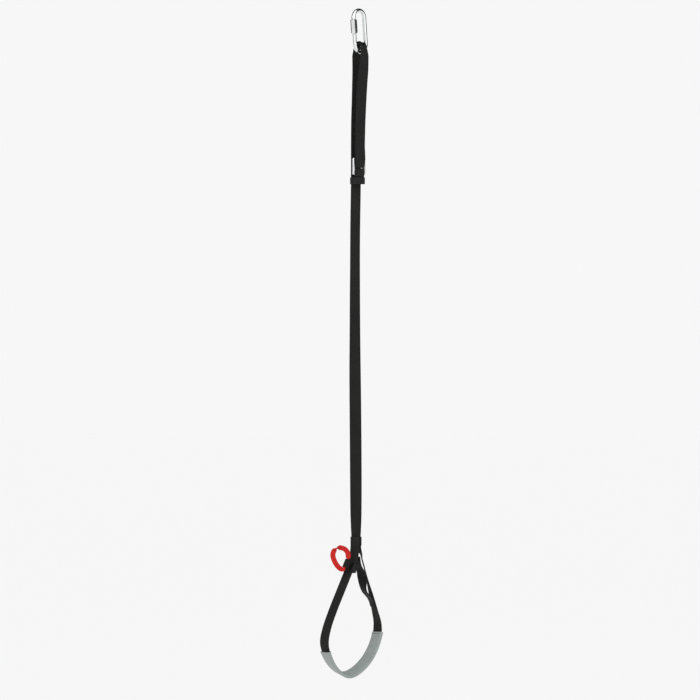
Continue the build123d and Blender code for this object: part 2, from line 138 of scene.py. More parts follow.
def white_room():
    """An even white room. Only reflections see the black flags that stand far behind and
    beside the object, and that draw the dark outlines of bright steel."""
    world = bpy.data.worlds.new("white_room")
    bpy.context.scene.world = world
    world.use_nodes = True
    tree = world.node_tree
    tree.nodes.clear()
    ray = add(tree, "ShaderNodeLightPath")
    way = add(tree, "ShaderNodeTexCoord")
    level = add(
        tree, "ShaderNodeVectorMath", {"operation": "MULTIPLY"}, i0=way.outputs["Generated"]
    )
    level.inputs[1].default_value = (1, 1, 0)
    flat = add(tree, "ShaderNodeVectorMath", {"operation": "NORMALIZE"}, i0=level.outputs[0])
    ahead = add(tree, "ShaderNodeVectorMath", {"operation": "DOT_PRODUCT"}, i0=flat.outputs[0])
    ahead.inputs[1].default_value = sight
    share = add(tree, "ShaderNodeMapRange", None, Value=ahead.outputs["Value"])
    share.inputs["From Min"].default_value = -1.0
    flags = add(tree, "ShaderNodeValToRGB", None, Fac=share.outputs["Result"])
    ramp = flags.color_ramp
    ramp.elements[0].color = (GLOSS_WHITE,) * 3 + (1,)
    ramp.elements[1].color = (FLAG_GREY,) * 3 + (1,)
    for place, tone in ((WHITE_UNTIL, GLOSS_WHITE), (FLAGS_FROM, FLAG_GREY)):
        ramp.elements.new(place).color = (tone, tone, tone, 1)
    room = add(tree, "ShaderNodeMix", {"data_type": "RGBA"}, Factor=ray.outputs["Is Glossy Ray"])
    room.inputs[6].default_value = (ROOM_WHITE,) * 3 + (1,)
    tree.links.new(flags.outputs["Color"], room.inputs[7])
    glow = add(tree, "ShaderNodeBackground", None, Color=room.outputs[2], Strength=1.0)
    add(tree, "ShaderNodeOutputWorld", None, Surface=glow.outputs[0])


white_room()


FLOOR_Z = -1.32
FLOOR_GLOW = 0.83


def studio_floor():
    """A lit white floor panel, well below the foot sleeve, as pale as the room."""
    disc = bmesh.new()
    bmesh.ops.create_circle(disc, cap_ends=True, segments=96, radius=60)
    mesh = bpy.data.meshes.new("studio_floor")
    disc.to_mesh(mesh)
    disc.free()
    floor = bpy.data.objects.new("studio_floor", mesh)
    bpy.context.scene.collection.objects.link(floor)
    floor.location = (0, 0, FLOOR_Z)
    paint, tree, shader = finish_of("lit_white_panel", Roughness=1.0)
    shader.inputs["Specular IOR Level"].default_value = 0.0
    tone = add(tree, "ShaderNodeTexNoise", None, Scale=0.6, Detail=3.0)
    mix = add(tree, "ShaderNodeMix", {"data_type": "RGBA"}, Factor=tone.outputs["Fac"])
    mix.inputs[6].default_value = (0.16, 0.16, 0.16, 1)
    mix.inputs[7].default_value = (0.17, 0.17, 0.17, 1)
    tree.links.new(mix.outputs[2], shader.inputs["Base Color"])
    shader.inputs["Emission Color"].default_value = (ROOM_WHITE,) * 3 + (1,)
    shader.inputs["Emission Strength"].default_value = FLOOR_GLOW
    wear(paint, floor)


studio_floor()

# ---- quick link ---------------------------------------------------------------------------
# A 7 mm steel wire bent into an oval, with a thread cut on both stubs of its open side.
# Bright zinc plate: cold, nearly white, with faint drawing lines along the wire.
WIRE_RADIUS = 3.5 * MM
BOW = 13 * MM
LEG_LENGTH = 45 * MM
TOP_BOW_Z = -9.5 * MM
LINK_LEAN = radians(5)
GATE_TOP = TOP_BOW_Z - 4.5 * MM
GATE_LOW = GATE_TOP - 16.5 * MM
THREAD_PITCH = 1.0 * MM
THREAD_DEPTH = 0.32 * MM
THREAD_LONG = 22 * MM
STUB_SHOULDER = 0.8 * MM  # plain wire between the top bow and the upper stub's thread


def mesh_of(name, points, faces):
    """A smooth closed mesh object from points in metres."""
    mesh = bpy.data.meshes.new(name)
    mesh.from_pydata([tuple(p) for p in points], [], faces)
    mesh.validate()
    mesh.shade_smooth()
    made = bpy.data.objects.new(name, mesh)
    bpy.context.scene.collection.objects.link(made)
    return made


def skin(rings, around):
    """Faces that join rings of points end to end, with a flat cap at both ends."""
    faces = []
    for ring in range(rings - 1):
        for k in range(around):
            a = ring * around + k
            b = ring * around + (k + 1) % around
            faces.append((a, b, b + around, a + around))
    faces.append(tuple(reversed(range(around))))
    faces.append(tuple(range((rings - 1) * around, rings * around)))
    return faces


def link_wire():
    """The bent wire from the lower stub round to the upper stub, with its threads."""
    low = TOP_BOW_Z - LEG_LENGTH
    line = []
    for z in np.arange(GATE_LOW, low, -THREAD_PITCH / 8):
        line.append((-BOW, z, 0, -1))
    for a in np.linspace(0, pi, 61):
        line.append((-BOW * cos(a), low - BOW * sin(a), sin(a), -cos(a)))
    for z in np.linspace(low, TOP_BOW_Z, 30)[1:-1]:
        line.append((BOW, z, 0, 1))
    for a in np.linspace(0, pi, 61):
        line.append((BOW * cos(a), TOP_BOW_Z + BOW * sin(a), -sin(a), cos(a)))
    for z in np.arange(TOP_BOW_Z, GATE_TOP, -THREAD_PITCH / 8)[1:]:
        line.append((-BOW, z, 0, -1))
    around = 32
    points = []
    for x, z, tx, tz in line:
        below = GATE_LOW - z
        lower_stub = 0 <= below < THREAD_LONG
        upper_stub = GATE_LOW < z < TOP_BOW_Z - STUB_SHOULDER
        threaded = x < -BOW + 1e-6 and (lower_stub or upper_stub)
        fade = min(1.0, max(0.0, (THREAD_LONG - below) / (2 * MM))) if below > 0 else 1.0
        for k in range(around):
            turn = 2 * pi * k / around
            radius = WIRE_RADIUS
            if threaded:
                wave = (z / THREAD_PITCH + k / around) % 1.0
                radius -= THREAD_DEPTH * fade * abs(2 * wave - 1)
            out = radius * cos(turn)
            dx, dz = tz * out, -tx * out
            y = radius * sin(turn)
            px, pz = x + dx, z + dz - TOP_BOW_Z
            points.append(
                (
                    px * cos(LINK_LEAN) - pz * sin(LINK_LEAN),
                    y,
                    px * sin(LINK_LEAN) + pz * cos(LINK_LEAN) + TOP_BOW_Z,
                )
            )
    return mesh_of("link_wire", points, skin(len(line), around))


def plated_steel(name, colour, shade, roughness, line_scale):
    """Steel with a bright plated or polished skin: soft streaks, pin marks and dull spots."""
    steel, tree, shader = finish_of(name, Metallic=1.0)
    place = add(tree, "ShaderNodeTexCoord")
    stretch = add(tree, "ShaderNodeMapping", None, Vector=place.outputs["Object"], Scale=line_scale)
    streaks = add(
        tree, "ShaderNodeTexNoise", None, Vector=stretch.outputs["Vector"], Scale=1.0, Detail=4.0
    )
    clouds = add(
        tree, "ShaderNodeTexNoise", None, Vector=place.outputs["Object"], Scale=90.0, Detail=5.0
    )
    tint = add(tree, "ShaderNodeMix", {"data_type": "RGBA"}, Factor=clouds.outputs["Fac"])
    tint.inputs[6].default_value = linear(shade)
    tint.inputs[7].default_value = linear(colour)
    tree.links.new(tint.outputs[2], shader.inputs["Base Color"])
    rough = add(tree, "ShaderNodeMapRange", None, Value=clouds.outputs["Fac"])
    rough.inputs["To Min"].default_value = roughness - 0.06
    rough.inputs["To Max"].default_value = roughness + 0.1
    tree.links.new(rough.outputs["Result"], shader.inputs["Roughness"])
    relief = add(tree, "ShaderNodeBump", None, Height=streaks.outputs["Fac"], Strength=0.05)
    relief.inputs["Distance"].default_value = 0.05 * MM
    tree.links.new(relief.outputs["Normal"], shader.inputs["Normal"])
    return steel


# zinc plate over steel: lines left by drawing the wire, 0.4 mm apart, run along the legs
ZINC = plated_steel("bright_zinc_plate", "#E9EAEA", "#D2D5D6", 0.15, (2500.0, 2500.0, 60.0))
wire = link_wire()
wear(ZINC, wire)
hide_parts("link_body")
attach(wire, "link")

# The sleeve nut is turned from hexagon bar and plated with the link. Its chamfered ends are
# machined, so they shine a little more than the flats.
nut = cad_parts["link_nut"]
TURNED_ZINC = plated_steel(
    "plated_hexagon_bar", "#E9EAEA", "#D2D5D6", 0.14, (900.0, 900.0, 2600.0)
)
wear(TURNED_ZINC, nut)

# ---- main strap ----------------------------------------------------------------------------
# Flat polyamide webbing, 20 mm wide and 2 mm thick, woven on a needle loom and dyed charcoal.
# It goes round the buckle's centre bar, over the link, where it cups in the bow, and then down
# behind the buckle, with a quarter turn on its long way to the foot loop.
WEB_WIDTH = 20 * MM
WEB_THICK = 2 * MM
WARP_PITCH = 1.25 * MM
PICK_PITCH = 1.7 * MM
RIB = 0.09 * MM  # how deep the grooves between the warp columns are
# places on the object in mm, and azimuths in degrees
BUCKLE_AT = (-9.7, -9.0, -261.8)
BUCKLE_TURN = -6
KEEPER_AT = (-7.3, 0.0, -286.3)
STRAP_TURN = -12
FOLD_AT = (3.92, -67.33)
FOLD_RADIUS = 9.18  # half the distance between the two legs at the fold
FOLD_RISE = 10.6
FOLD_FOOT_Z = -79.33
BACK_TOP_Z = BUCKLE_AT[2] + 22
JUNCTION_X = -6.9
JUNCTION_Z = -905.0
JUNCTION_TOP = JUNCTION_Z + 14


def in_frame(origin, azimuth, path):
    """Stations from (forward, up) points in a local frame whose X runs across the strap."""
    a = radians(azimuth)
    return [
        (origin[0] + forward * sin(a), origin[1] - forward * cos(a), origin[2] + up, azimuth)
        for forward, up in path
    ]


def course(stations, step=2.0):
    """Points, and the directions along, across and out, on a smooth line through stations."""
    rows = np.array([list(s) + [0.0] * (5 - len(s)) for s in stations], float)
    gaps = np.sqrt(np.linalg.norm(np.diff(rows[:, :3], axis=0), axis=1))
    slopes = np.diff(rows, axis=0) / gaps[:, None]
    bend = [slopes[0]]
    for i in range(1, len(rows) - 1):
        share = gaps[i] / (gaps[i - 1] + gaps[i])
        bend.append(slopes[i - 1] * share + slopes[i] * (1 - share))
    bend.append(slopes[-1])
    places = []
    for i, gap in enumerate(gaps):
        count = max(2, int(np.ceil(gap * gap / step)))
        for t in np.arange(count) / count:
            places.append(
                rows[i] * (2 * t**3 - 3 * t**2 + 1)
                + bend[i] * gap * (t**3 - 2 * t**2 + t)
                + rows[i + 1] * (3 * t**2 - 2 * t**3)
                + bend[i + 1] * gap * (t**3 - t**2)
            )
    places.append(rows[-1])
    places = np.array(places)
    points = places[:, :3] * MM
    turn, tilt = np.radians(places[:, 3]), np.radians(places[:, 4])
    along = np.gradient(points, axis=0)
    along /= np.linalg.norm(along, axis=1)[:, None]
    across = np.stack([np.cos(tilt) * np.cos(turn), np.cos(tilt) * np.sin(turn), -np.sin(tilt)], 1)
    across -= along * np.sum(across * along, 1)[:, None]
    across /= np.linalg.norm(across, axis=1)[:, None]
    return points, along, across, np.cross(along, across)


def section(width, thick, pitch):
    """(across, height) round a webbing's section: ribbed faces and rounded selvedges."""
    reach = width / 2 - thick * 0.4
    count = max(4, int(round(2 * reach / pitch))) * 4
    top = []
    for u in np.linspace(-reach, reach, count + 1):
        rib = RIB * (abs(sin(pi * (u + reach) / pitch)) - 1)
        top.append((u, thick / 2 + rib))
    edge = [
        (reach + thick * 0.4 * sin(a), thick / 2 * cos(a)) for a in np.linspace(0, pi, 9)[1:-1]
    ]
    under = [(-u, -h) for u, h in top]
    return top + edge + under + [(-u, -h) for u, h in edge]


def webbing(
    name, line, width=WEB_WIDTH, thick=WEB_THICK, cup=None, pitch=WARP_PITCH, wander=0.12
):
    """A woven strap along a course. cup gives each ring's bend at its near and far edge, and
    the share of its width that is left."""
    points, along, across, out = line
    shape = np.array(section(width, thick, pitch))
    u, h = shape[:, 0], shape[:, 1]
    run = np.concatenate([[0], np.cumsum(np.linalg.norm(np.diff(points, axis=0), axis=1))])
    dice = random.Random(len(name) * 7 + len(points))
    phase = [dice.uniform(0, 2 * pi) for _ in range(3)]
    verts = []
    for i in range(len(points)):
        uu, hh = u.copy(), h.copy()
        if cup is not None:
            near, far, narrow = cup[i]
            uu, hh = cupped(u, h, near, far)
            uu *= narrow
        # a used strap is never quite flat: its faces wander by about a tenth of a millimetre
        drift = wander * MM * (
            sin(run[i] / 0.031 + phase[0]) + 0.6 * sin(run[i] / 0.0127 + phase[1])
        )
        lean = wander * 0.9 * MM * sin(run[i] / 0.023 + phase[2])
        bow = drift * (1 - (2 * u / width) ** 2) + lean * 2 * u / width
        verts.append(points[i] + np.outer(uu, across[i]) + np.outer(hh + bow, out[i]))
    strap = mesh_of(name, np.concatenate(verts), skin(len(points), len(u)))
    weave = strap.data.attributes.new("weave", "FLOAT_VECTOR", "POINT")
    flat = np.zeros((len(points), len(u), 3))
    flat[:, :, 0] = u / MM
    flat[:, :, 1] = run[:, None] / MM
    weave.data.foreach_set("vector", flat.astype(np.float32).ravel())
    return strap


BEND_REACH = 4.5 * MM  # the cupped strap is bent this far out from its middle, then straight


def cupped(u, h, near, far):
    """The section bent into a trough, by near and far degrees at its two edges."""
    steps = np.linspace(0, 1, 41)
    length = WEB_WIDTH / 2
    spot_u, spot_h = np.zeros_like(u), np.zeros_like(h)
    for side, most in ((-1, near), (1, far)):
        angle = radians(most) * np.minimum(steps * length / BEND_REACH, 1)
        x = np.concatenate([[0], np.cumsum(np.cos(angle[1:]) * length / 40)])
        z = np.concatenate([[0], np.cumsum(np.sin(angle[1:]) * length / 40)])
        mine = (u * side > 0) | ((u == 0) & (side > 0))
        at = np.abs(u[mine]) / length
        turn = np.interp(at, steps, angle)
        spot_u[mine] = side * (np.interp(at, steps, x) + np.sin(turn) * h[mine])
        spot_h[mine] = -np.interp(at, steps, z) + np.cos(turn) * h[mine]
    return spot_u, spot_h


# (forward, up) in the buckle's own frame: up behind the front run and round the centre bar
PLY_OFF = 3.3  # a ply's middle from a bar's middle
FRONT_PLY = 5.45  # the second ply, outside the first
CENTRE_BAR = 1.5
tail = [(PLY_OFF - 1.2, 38), (PLY_OFF - 1.2, 34), (PLY_OFF - 0.4, 20), (PLY_OFF, 13), (2.1, 9.3)]
tail += [(-0.7, 6.6), (-PLY_OFF + 0.6, 4.4)]
tail += [
    (PLY_OFF * cos(a), CENTRE_BAR - PLY_OFF * sin(a))
    for a in [pi - pi * i / 8 for i in range(9)]
]
tail += [(FRONT_PLY - 0.7, 7.5), (FRONT_PLY, 13), (FRONT_PLY - 0.4, 20)]
tail += [(FRONT_PLY - 1.2, 34), (FRONT_PLY - 1.2, 38)]
front = [(-6.2, -10.2, -185, -11), (-3.3, -9.3, -149, -13), (-0.9, -9.1, -120, -14)]
front += [(2.2, -9.0, -96, -10)]
saddle = [(FOLD_AT[0], -FOLD_RADIUS, FOLD_FOOT_Z, 0)]
saddle += [
    (FOLD_AT[0], -FOLD_RADIUS * cos(a), FOLD_AT[1] + FOLD_RISE * sin(a), 0)
    for a in [pi * i / 8 for i in range(9)]
]
saddle += [(FOLD_AT[0], FOLD_RADIUS, FOLD_FOOT_Z, 0)]
back = [(4.6, 8.2, -96, -10), (3.2, 7.0, -120, -14), (0.4, 5.3, -149, -13)]
back += [(-3.6, 3.0, -185, -11), (-6.6, 1.0, -225, -8)]
long_run = [
    (-8.0, -0.4, BACK_TOP_Z, -9),
    (-7.6, -0.2, BUCKLE_AT[2], -10),
    (-7.3, 0, -278.5, STRAP_TURN),
    (-7.3, 0, -294, STRAP_TURN),
    (-8.9, 0, -370, -11),
    (-9.5, 0, -470, -14),
    (-9.5, 0, -540, -20),
    (-9.3, 0, -600, -29),
    (-8.6, 0, -660, -39),
    (-7.8, 0, -727, -46),
    (-7.2, 0, -800, -54),
    (-7.0, 0, -850, -66),
    (-6.9, 0, -876, -78),
    (JUNCTION_X, 0, JUNCTION_TOP, -86),
    (JUNCTION_X, 0, JUNCTION_Z, -86),
]
main_line = course(
    in_frame(BUCKLE_AT, BUCKLE_TURN, tail) + front + saddle + back + long_run, step=2.0
)


def eased(z, start, length):
    """A smooth rise from 0 to 1 that begins at height start and takes that length, in mm."""
    share = min(1.0, max(0.0, (z / MM - start) / length))
    return share * share * (3 - 2 * share)


# over the wire the strap's edges bend up, and it is squeezed to four fifths of its width
CUP_NEAR, CUP_FAR = 84, 58
CUP_START, CUP_LENGTH = -61.5, 5.5
PINCH, PINCH_START, PINCH_LENGTH = 0.2, -75, 10
cup = []
for place in main_line[0]:
    share = eased(place[2], CUP_START, CUP_LENGTH)
    left = 1 - PINCH * eased(place[2], PINCH_START, PINCH_LENGTH)
    cup.append((CUP_NEAR * share, CUP_FAR * share, left))
main_strap = webbing("main_strap", main_line, cup=cup)


def woven(name, yarn, gap, fade, pitch, pick, fuzz=0.04, depth=0.35):
    """A woven tape: columns of warp yarn that float over the picks in turn, with gaps between
    them painted darker as shade, fine fibre noise, and slow changes of tone from dye, dust and
    handling."""
    cloth, tree, shader = finish_of(name)
    shader.inputs["Specular IOR Level"].default_value = 0.22
    shader.inputs["Sheen Weight"].default_value = fuzz
    shader.inputs["Sheen Roughness"].default_value = 0.45
    weave = add(tree, "ShaderNodeAttribute", {"attribute_name": "weave"})
    split = add(tree, "ShaderNodeSeparateXYZ", None, Vector=weave.outputs["Vector"])
    step = {"operation": "MULTIPLY"}
    column = add(tree, "ShaderNodeMath", step, i0=split.outputs["X"], i1=MM / pitch)
    number = add(tree, "ShaderNodeMath", {"operation": "FLOOR"}, i0=column.outputs[0])
    stagger = add(tree, "ShaderNodeMath", step, i0=number.outputs[0], i1=0.5)
    row = add(
        tree, "ShaderNodeMath", {"operation": "MULTIPLY_ADD"}, i0=split.outputs["Y"], i1=MM / pick
    )
    tree.links.new(stagger.outputs[0], row.inputs[2])
    domes = []
    for way in (column, row):
        part = add(tree, "ShaderNodeMath", {"operation": "FRACT"}, i0=way.outputs[0])
        turn = add(tree, "ShaderNodeMath", step, i0=part.outputs[0], i1=pi)
        domes.append(add(tree, "ShaderNodeMath", {"operation": "SINE"}, i0=turn.outputs[0]))
    yarns = add(tree, "ShaderNodeMath", step, i0=domes[0].outputs[0], i1=domes[1].outputs[0])
    crown = add(tree, "ShaderNodeMath", {"operation": "POWER"}, i0=yarns.outputs[0], i1=0.55)
    # fibres of 0.2 mm lie along the strap
    thin = add(
        tree, "ShaderNodeMapping", None, Vector=weave.outputs["Vector"], Scale=(5.0, 0.8, 5.0)
    )
    fibre = add(
        tree, "ShaderNodeTexNoise", None, Vector=thin.outputs["Vector"], Scale=1.0, Detail=3.0
    )
    place = add(tree, "ShaderNodeTexCoord")
    age = add(
        tree, "ShaderNodeTexNoise", None, Vector=place.outputs["Object"], Scale=26.0, Detail=4.0
    )
    aged = add(tree, "ShaderNodeMapRange", None, Value=age.outputs["Fac"])
    aged.inputs["From Min"].default_value = 0.35
    aged.inputs["From Max"].default_value = 0.72
    shade = add(tree, "ShaderNodeMix", {"data_type": "RGBA"}, Factor=aged.outputs["Result"])
    shade.inputs[6].default_value = linear(yarn)
    shade.inputs[7].default_value = linear(fade)
    # painted shade: the gap colour darkens the grooves between the yarn crowns, following their
    # height
    painted_groove_shade = add(tree, "ShaderNodeMix", {"data_type": "RGBA"}, Factor=crown.outputs[0])
    painted_groove_shade.inputs[6].default_value = linear(gap)
    tree.links.new(shade.outputs[2], painted_groove_shade.inputs[7])
    tree.links.new(painted_groove_shade.outputs[2], shader.inputs["Base Color"])
    rough = add(tree, "ShaderNodeMapRange", None, Value=fibre.outputs["Fac"])
    rough.inputs["To Min"].default_value = 0.6
    rough.inputs["To Max"].default_value = 0.9
    tree.links.new(rough.outputs["Result"], shader.inputs["Roughness"])
    soft = add(tree, "ShaderNodeMath", step, i0=fibre.outputs["Fac"], i1=0.35)
    relief_height = add(
        tree, "ShaderNodeMath", {"operation": "ADD"}, i0=crown.outputs[0], i1=soft.outputs[0]
    )
    relief = add(tree, "ShaderNodeBump", None, Height=relief_height.outputs[0], Strength=0.8)
    relief.inputs["Distance"].default_value = depth * MM
    tree.links.new(relief.outputs["Normal"], shader.inputs["Normal"])
    return cloth


# The real warp is about 0.6 mm apart. It is drawn twice as coarse so that it shows.
# 080808 is painted shade for the grooves between the yarns
POLYAMIDE = woven(
    "charcoal_polyamide_webbing", "#1A1A1A", "#080808", "#242320", WARP_PITCH, PICK_PITCH
)
wear(POLYAMIDE, main_strap)
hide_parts("strap_fold", "front_leg", "back_leg", "adjusting_end", "lower_strap")
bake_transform(main_strap)

# A short length of the same webbing ties the buckle's lowest bar to the strap. Its two ends
# are sewn flat under the keeper band, and it stands a little proud of the bar.
LOWEST_BAR = -13  # the bar's height in the buckle's frame
CROWN_RISE = 8.8
KEEPER_PLIES = ((9.6, -5.2), (9.6, 5.95), (3.35, 2.6), (3.35, -5.2))
crown = [
    (PLY_OFF * cos(a), LOWEST_BAR + PLY_OFF * sin(a)) for a in (radians(-46), radians(-23))
]
crown += [
    (PLY_OFF * cos(a), LOWEST_BAR + CROWN_RISE * sin(a)) for a in [pi * i / 8 for i in range(9)]
]
anchor_piece = webbing(
    "buckle_anchor_loop",
    course(
        in_frame(KEEPER_AT, STRAP_TURN, KEEPER_PLIES[:2])
        + in_frame(BUCKLE_AT, BUCKLE_TURN, crown)
        + in_frame(KEEPER_AT, STRAP_TURN, KEEPER_PLIES[2:]),
        step=1.2,
    ),
    wander=0.05,
)
wear(POLYAMIDE, anchor_piece)
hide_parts("anchor_loop")
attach(anchor_piece, "loop")

# ---- hem of the strap's free tail -------------------------------------------------------------
# Bonded thread, sewn in close zigzag rows beside the tail's cut end so that it can't fray or
# slip out of the buckle. Each stitch is a short raised dash that sinks in at both ends.
THREAD_THICK = 0.55 * MM
STITCH_RINGS = 7


def stitch_rows(name, faces, width, rows, pitch=1.1, slant=0.5):
    """Rows of stitches on faces. A face is (middle, across, along, out); rows are mm along."""
    points, ends = [], []
    sides = 6
    for middle, across, along, out in faces:
        middle, across = Vector(middle), Vector(across)
        along, out = Vector(along), Vector(out)
        for level in rows:
            count = int(width / (pitch * MM))
            for i in range(count):
                u = (i + 0.5) / count * width - width / 2
                tilt = slant * MM * (1 if i % 2 else -1)
                base = len(points)
                for j in range(STITCH_RINGS):
                    s = j / (STITCH_RINGS - 1)
                    at = middle + across * u + along * (level * MM) + along * tilt * (2 * s - 1)
                    at += across * (s - 0.5) * 0.86 * pitch * MM
                    at += out * THREAD_THICK * (0.55 * sin(pi * s) - 0.12)
                    thick = THREAD_THICK / 2 * (0.75 + 0.25 * sin(pi * s))
                    for k in range(sides):
                        a = 2 * pi * k / sides
                        points.append(at + along * thick * cos(a) + out * thick * sin(a))
                ends.append(base)
    faces_made = []
    for base in ends:
        faces_made += [tuple(base + n for n in f) for f in skin(STITCH_RINGS, sides)]
    return mesh_of(name, points, faces_made)


def twisted_thread(name, colour, shade):
    """Sewing thread: a tight two-ply twist, with fine slanting lines of painted highlight and
    painted shade in its colour.
    """
    thread, tree, shader = finish_of(name, Roughness=0.5)
    shader.inputs["Sheen Weight"].default_value = 0.15
    place = add(tree, "ShaderNodeTexCoord")
    turned = add(tree, "ShaderNodeMapping", None, Vector=place.outputs["Object"])
    turned.inputs["Rotation"].default_value = (0.6, 0.3, 0.8)
    twist = add(tree, "ShaderNodeTexWave", None, Vector=turned.outputs["Vector"], Scale=700.0)
    twist.inputs["Distortion"].default_value = 1.5
    # painted shade in the twist's grooves and painted highlight on its ridges, mixed into the
    # colour by the wave
    mix = add(tree, "ShaderNodeMix", {"data_type": "RGBA"}, Factor=twist.outputs["Fac"])
    mix.inputs[6].default_value = linear(shade)
    mix.inputs[7].default_value = linear(colour)
    tree.links.new(mix.outputs[2], shader.inputs["Base Color"])
    relief = add(tree, "ShaderNodeBump", None, Height=twist.outputs["Fac"], Strength=0.4)
    relief.inputs["Distance"].default_value = 0.1 * MM
    tree.links.new(relief.outputs["Normal"], shader.inputs["Normal"])
    return thread


BONDED_THREAD = twisted_thread("bonded_black_thread", "#2A2A2D", "#101012")


def ply_face(origin, azimuth, forward, up, flip=False):
    """A vertical face of a strap, for stitches: middle, across, along and out."""
    a = radians(azimuth)
    out = Vector((sin(a), -cos(a), 0)) * (-1 if flip else 1)
    middle = Vector(origin) + Vector((sin(a), -cos(a), 0)) * forward + Vector((0, 0, up))
    return middle * MM, Vector((cos(a), sin(a), 0)), Vector((0, 0, 1)), out


TAIL_BACK = PLY_OFF - 1.2 - WEB_THICK / MM / 2
TAIL_TOP = 38
hem_face = ply_face(BUCKLE_AT, BUCKLE_TURN, TAIL_BACK, TAIL_TOP, flip=True)
hem_thread = stitch_rows("tail_hem_thread", [hem_face], 16 * MM, (-1.4, -3.0))
wear(BONDED_THREAD, hem_thread)
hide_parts("tail_hem_stitching")
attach(hem_thread, "loop")

# ---- adjuster buckle and keeper -----------------------------------------------------------
# The buckle is a three-bar slide, welded from polished steel rod. The keeper is a soft moulded
# band round the strap, over the place where the buckle's anchor loop is sewn on.
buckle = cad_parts["buckle_frame"]
POLISHED_STEEL = plated_steel(
    "polished_buckle_steel", "#DCDDDE", "#B9BBBD", 0.2, (2200.0, 2200.0, 90.0)
)
wear(POLISHED_STEEL, buckle)


def moulded(name, colour, shade, roughness, grain):
    """Moulded plastic or rubber: a fine spark-eroded grain and a few rubbed, paler places."""
    plastic, tree, shader = finish_of(name)
    shader.inputs["Specular IOR Level"].default_value = 0.25
    place = add(tree, "ShaderNodeTexCoord")
    pits = add(
        tree, "ShaderNodeTexNoise", None, Vector=place.outputs["Object"], Scale=grain, Detail=2.0
    )
    rubs = add(
        tree, "ShaderNodeTexNoise", None, Vector=place.outputs["Object"], Scale=120.0, Detail=6.0
    )
    rubbed = add(tree, "ShaderNodeMapRange", None, Value=rubs.outputs["Fac"])
    rubbed.inputs["From Min"].default_value = 0.45
    rubbed.inputs["From Max"].default_value = 0.8
    mix = add(tree, "ShaderNodeMix", {"data_type": "RGBA"}, Factor=rubbed.outputs["Result"])
    mix.inputs[6].default_value = linear(colour)
    mix.inputs[7].default_value = linear(shade)
    tree.links.new(mix.outputs[2], shader.inputs["Base Color"])
    rough = add(tree, "ShaderNodeMapRange", None, Value=rubs.outputs["Fac"])
    rough.inputs["To Min"].default_value = roughness - 0.1
    rough.inputs["To Max"].default_value = roughness + 0.12
    tree.links.new(rough.outputs["Result"], shader.inputs["Roughness"])
    relief = add(tree, "ShaderNodeBump", None, Height=pits.outputs["Fac"], Strength=0.35)
    relief.inputs["Distance"].default_value = 0.08 * MM
    tree.links.new(relief.outputs["Normal"], shader.inputs["Normal"])
    return plastic


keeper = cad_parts["strap_keeper"]
wear(moulded("soft_moulded_rubber", "#121212", "#1B1B1B", 0.66, 1400.0), keeper)

# ---- foot loop -----------------------------------------------------------------------------
# One length of the webbing goes round the foot, and its two ends close on the lower strap in
# a sandwich. Its right side twists on the way up, so that its edge faces forwards there.
PLY_STEP = 2.15  # from the middle of one sewn ply to the next
LEFT_X = JUNCTION_X - PLY_STEP
RIGHT_X = JUNCTION_X + PLY_STEP
left_leg = [
    (LEFT_X, 0, JUNCTION_TOP, -86),
    (LEFT_X, 0, JUNCTION_Z, -86),
    (LEFT_X, 0, JUNCTION_Z - 1.5, -86),
    (LEFT_X - 0.9, 0, -915, -87),
    (-12.8, 0, -926, -89),
    (-17.6, 0, -936, -90),
    (-41.2, 0, -977, -90),
    (-64.6, 0, -1017.6, -90),
    (-78.4, 0, -1046, -90),
    (-84.0, 0, -1068, -90, 4),
]
sole = [
    (-80.4, 0, -1084.0, -90, 12),
    (-67.7, 0, -1104.4, -90, 18),
    (-49.0, 0, -1119.2, -90, 20),
    (-31.0, 0, -1124.6, -90, 20),
    (-14.2, 0, -1121.2, -90, 20),
    (11.0, 0, -1106.8, -90, 18),
    (30.2, 0, -1086.8, -90, 14),
    (41.6, 0, -1066.2, -90, 7),
    (45.6, 0, -1054.0, -90, 2),
]
right_leg = [
    (46.2, 0, -1046, -93),
    (45.4, 0, -1036, -98),
    (39.4, 0, -1017.5, -108),
    (34.6, -0.2, -1004, -113),
    (28.4, -0.5, -987, -120),
    (20.4, -1.0, -966.5, -130),
    (12.8, -1.5, -946, -136),
    (5.8, -2.4, -931, -136),
    (2.0, -2.4, -920, -128),
    (-2.6, -1.2, -912, -108),
    (RIGHT_X, 0, JUNCTION_Z - 1.5, -86),
    (RIGHT_X, 0, JUNCTION_Z, -86),
    (RIGHT_X, 0, JUNCTION_TOP, -86),
]
foot_strap = webbing("foot_strap", course(left_leg + sole + right_leg, step=1.6), wander=0.05)
wear(POLYAMIDE, foot_strap)
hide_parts("foot_strap")
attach(foot_strap, "loop")

# The junction's bar tacks go through all three plies and show on both outer faces.
tack_faces = []
tack_reach = PLY_STEP + WEB_THICK / MM / 2
for flip, reach in ((False, tack_reach), (True, -tack_reach)):
    tack_faces.append(ply_face((JUNCTION_X, 0, JUNCTION_Z), -86, reach, 0, flip))
junction_thread = stitch_rows(
    "junction_thread", tack_faces, 16 * MM, (1.5, 3.6, 5.7, 7.8, 9.9, 12.0)
)
wear(BONDED_THREAD, junction_thread)
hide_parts("junction_stitching")
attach(junction_thread, "loop")

# ---- foot sleeve ---------------------------------------------------------------------------
# A flexible grey vinyl tube, pulled over the sole of the loop to spread the load and guard the
# webbing. It is semi-matt, creases across its inner face, and scuffs along its outer edges.
SLEEVE_WIDTH = 22.2 * MM
SLEEVE_THICK = 5.55 * MM
SLEEVE_WALL = 0.8 * MM
SLEEVE_OFF = 0.675 * MM
CREASE_X = -45 * MM
SLEEVE_ENDS = (-1083.9, -1053.9)  # heights in mm of its left and right ends


